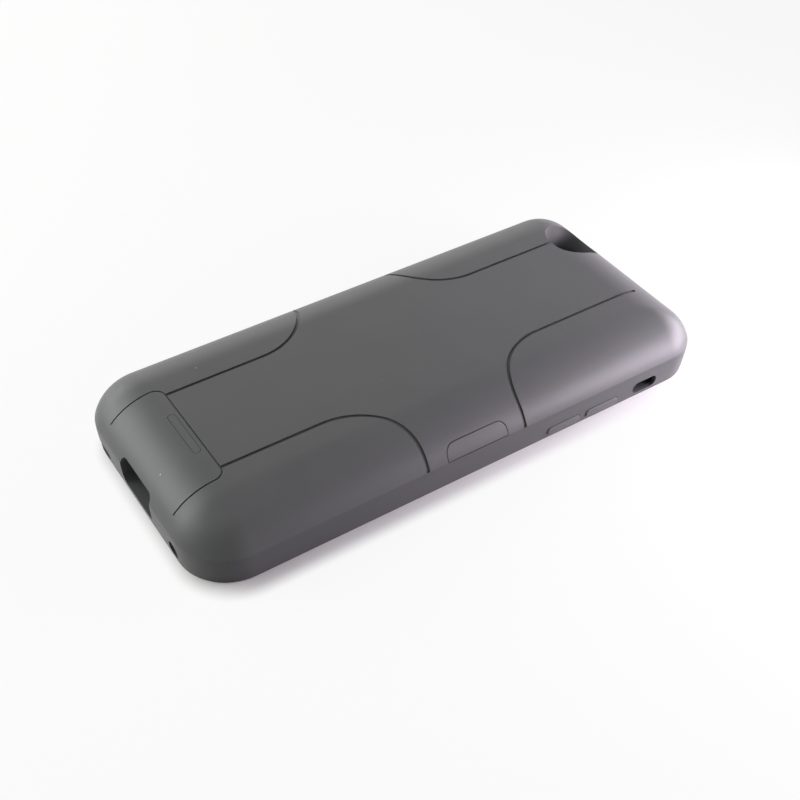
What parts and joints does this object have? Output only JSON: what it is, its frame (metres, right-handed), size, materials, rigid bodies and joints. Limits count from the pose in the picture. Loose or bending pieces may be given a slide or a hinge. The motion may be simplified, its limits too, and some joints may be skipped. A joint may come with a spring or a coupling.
{
  "type": "battery case",
  "caption": "Rounded slim battery case for a phone: a grooved back shell over a tray with the phone's recess, side keys that travel, a camera hole and a charging socket.",
  "frame": {"origin": "bottom centre of the part's box: on the surface that the front rim lies on", "axes": "+Y to the camera end, +Z out of the back, +X to the side with the keys. It lies face down."},
  "size_m": [0.0704, 0.1532, 0.018],
  "materials": {
    "shell_plastic": "soft-touch dark grey, fine grain",
    "tray_plastic": "soft-touch dark grey, fine grain",
    "key_plastic": "satin dark grey",
    "light_guide_plastic": "smoke tinted, diffusing",
    "cell_pouch": "matt laminated foil",
    "foam_tape": "closed foam with adhesive",
    "circuit_board": "green solder mask on glass cloth",
    "nickel_strip": "nickel strip",
    "red_wire": "silicone sleeve",
    "black_wire": "silicone sleeve",
    "light_body": "clear resin over white",
    "chip_resin": "moulded resin",
    "ferrite": "sintered, fine grain",
    "capacitor_ceramic": "fired ceramic",
    "socket_steel": "tin plated sheet",
    "tongue_plastic": "moulded black",
    "plug_metal": "satin nickel plate",
    "switch_plastic": "moulded black",
    "plunger_plastic": "moulded cream",
    "ribbon_film": "amber film over copper"
  },
  "bodies": {
    "case": {"back_shell": "shell_plastic", "front_tray": "tray_plastic", "light_guide": "light_guide_plastic", "battery_cell": "cell_pouch", "cell_tape": "foam_tape", "protection_board": "circuit_board", "cell_tabs": "nickel_strip", "positive_lead": "red_wire", "negative_lead": "black_wire", "control_board": "circuit_board", "charge_lights": "light_body", "charge_chip": "chip_resin", "inductor": "ferrite", "capacitors": "capacitor_ceramic", "charging_socket": "socket_steel", "socket_tongue": "tongue_plastic", "phone_plug": "plug_metal", "plug_base": "tongue_plastic", "key_switch": "switch_plastic", "switch_board": "circuit_board", "switch_ribbon": "ribbon_film"},
    "power_key": {"power_key": "key_plastic", "switch_plunger": "plunger_plastic"},
    "volume_up_key": {"volume_up_key": "key_plastic"},
    "volume_down_key": {"volume_down_key": "key_plastic"}
  },
  "joints": [
    {"name": "power_key_press", "type": "slide", "parent": "case", "child": "power_key", "axis": [-1, 0, 0], "range_m": [0, 0.0004], "stiffness_N_per_m": 3000},
    {"name": "volume_up_press", "type": "slide", "parent": "case", "child": "volume_up_key", "axis": [-1, 0, 0], "range_m": [0, 0.0004], "stiffness_N_per_m": 1500},
    {"name": "volume_down_press", "type": "slide", "parent": "case", "child": "volume_down_key", "axis": [-1, 0, 0], "range_m": [0, 0.0004], "stiffness_N_per_m": 1500}
  ]
}
